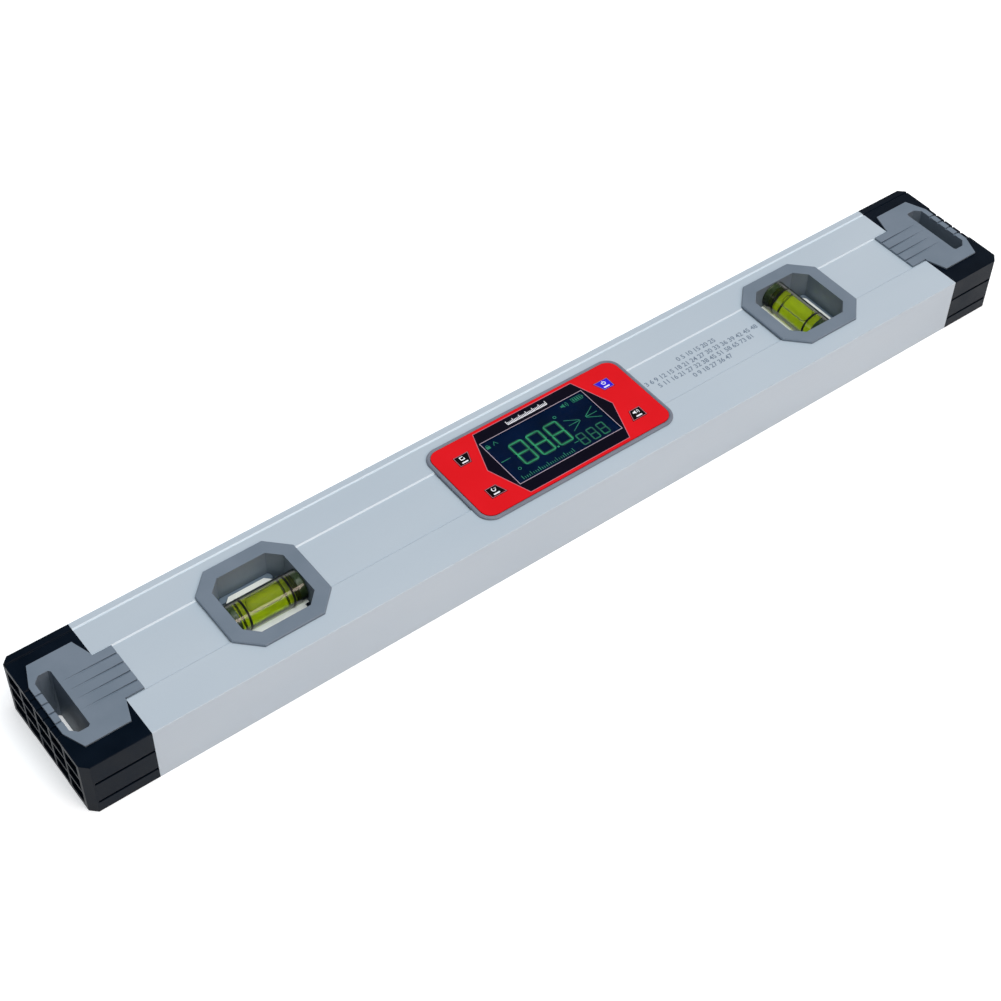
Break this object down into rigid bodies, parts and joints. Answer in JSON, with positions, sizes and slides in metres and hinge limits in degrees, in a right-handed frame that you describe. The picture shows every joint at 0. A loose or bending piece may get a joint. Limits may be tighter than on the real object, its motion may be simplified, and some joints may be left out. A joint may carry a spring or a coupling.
{
  "type": "digital spirit level",
  "caption": "Digital spirit level: aluminium box section with level and plumb vials, a screen with buttons, and end caps with hang slots.",
  "frame": {"origin": "centre of the back face that the level lies on", "axes": "+X along the level towards the plumb vial, +Y from the measuring face to the top edge, +Z out of the display"},
  "size_m": [0.4, 0.053, 0.0245],
  "materials": {
    "anodised_aluminium": "satin anodised",
    "cap_black": "fine-grained moulding",
    "insert_grey": "smooth satin moulding",
    "cradle_white": "glossy moulding",
    "vial_clear": "polished clear acrylic",
    "vial_liquid": "clear yellow-green liquid",
    "ring_black": "printed line",
    "plug_green": "moulded",
    "bubble_air": "clear",
    "bezel_dark": "fine-grained moulding",
    "gasket_black": "soft foam rubber",
    "keypad_red": "printed satin film",
    "window_black": "printed film",
    "pane_clear": "clear film",
    "screen_navy": "dark screen glass",
    "backlight_white": "light guide",
    "button_black": "printed satin film",
    "button_blue": "printed satin film",
    "board_green": "solder resist",
    "chip_black": "moulded chip package",
    "metal_dome": "sprung steel",
    "screw_steel": "zinc plated",
    "contact_steel": "nickel plated strip",
    "cell_wrap": "plain shrink wrap",
    "housing_black": "moulded",
    "door_black": "fine-grained moulding"
  },
  "bodies": {
    "level": {"body_profile": "anodised_aluminium", "left_end_cap": "cap_black", "right_end_cap": "cap_black", "left_cap_insert": "insert_grey", "right_cap_insert": "insert_grey", "display_bezel": "bezel_dark", "bezel_gasket": "gasket_black", "keypad_membrane": "keypad_red", "window_mask": "window_black", "window_pane": "pane_clear", "lcd_glass": "screen_navy", "backlight": "backlight_white", "elastomer_strips": "gasket_black", "main_board": "board_green", "dome_switches": "metal_dome", "tilt_sensor": "chip_black", "processor_chip": "chip_black", "buzzer": "chip_black", "module_housing": "housing_black", "module_screws": "screw_steel", "battery_cells": "cell_wrap", "battery_contacts": "contact_steel", "level_vial_frame": "insert_grey", "level_vial_cradle": "cradle_white", "level_vial_tube": "vial_clear", "level_vial_liquid": "vial_liquid", "level_vial_rings": "ring_black", "level_vial_plugs": "plug_green", "plumb_vial_frame": "insert_grey", "plumb_vial_cradle": "cradle_white", "plumb_vial_tube": "vial_clear", "plumb_vial_liquid": "vial_liquid", "plumb_vial_rings": "ring_black", "plumb_vial_plugs": "plug_green"},
    "top_left_button": {"top_left_button": "button_black"},
    "bottom_left_button": {"bottom_left_button": "button_black"},
    "top_right_button": {"top_right_button": "button_blue"},
    "bottom_right_button": {"bottom_right_button": "button_black"},
    "level_bubble": {"level_vial_bubble": "bubble_air"},
    "plumb_bubble": {"plumb_vial_bubble": "bubble_air"},
    "battery_door": {"battery_door": "door_black", "battery_door_gasket": "gasket_black"}
  },
  "joints": [
    {"name": "top_left_button_press", "type": "slide", "parent": "level", "child": "top_left_button", "axis": [0, 0, -1], "range_m": [0, 0.0004], "stiffness_N_per_m": 4000},
    {"name": "bottom_left_button_press", "type": "slide", "parent": "level", "child": "bottom_left_button", "axis": [0, 0, -1], "range_m": [0, 0.0004], "stiffness_N_per_m": 4000},
    {"name": "top_right_button_press", "type": "slide", "parent": "level", "child": "top_right_button", "axis": [0, 0, -1], "range_m": [0, 0.0004], "stiffness_N_per_m": 4000},
    {"name": "bottom_right_button_press", "type": "slide", "parent": "level", "child": "bottom_right_button", "axis": [0, 0, -1], "range_m": [0, 0.0004], "stiffness_N_per_m": 4000},
    {"name": "level_bubble_run", "type": "slide", "parent": "level", "child": "level_bubble", "axis": [1, 0, 0], "range_m": [-0.0034, 0.0034]},
    {"name": "plumb_bubble_run", "type": "slide", "parent": "level", "child": "plumb_bubble", "axis": [0, 1, 0], "range_m": [-0.0034, 0.0034]},
    {"name": "battery_door_lift", "type": "slide", "parent": "level", "child": "battery_door", "axis": [0, 0, -1], "range_m": [0, 0.02]}
  ]
}
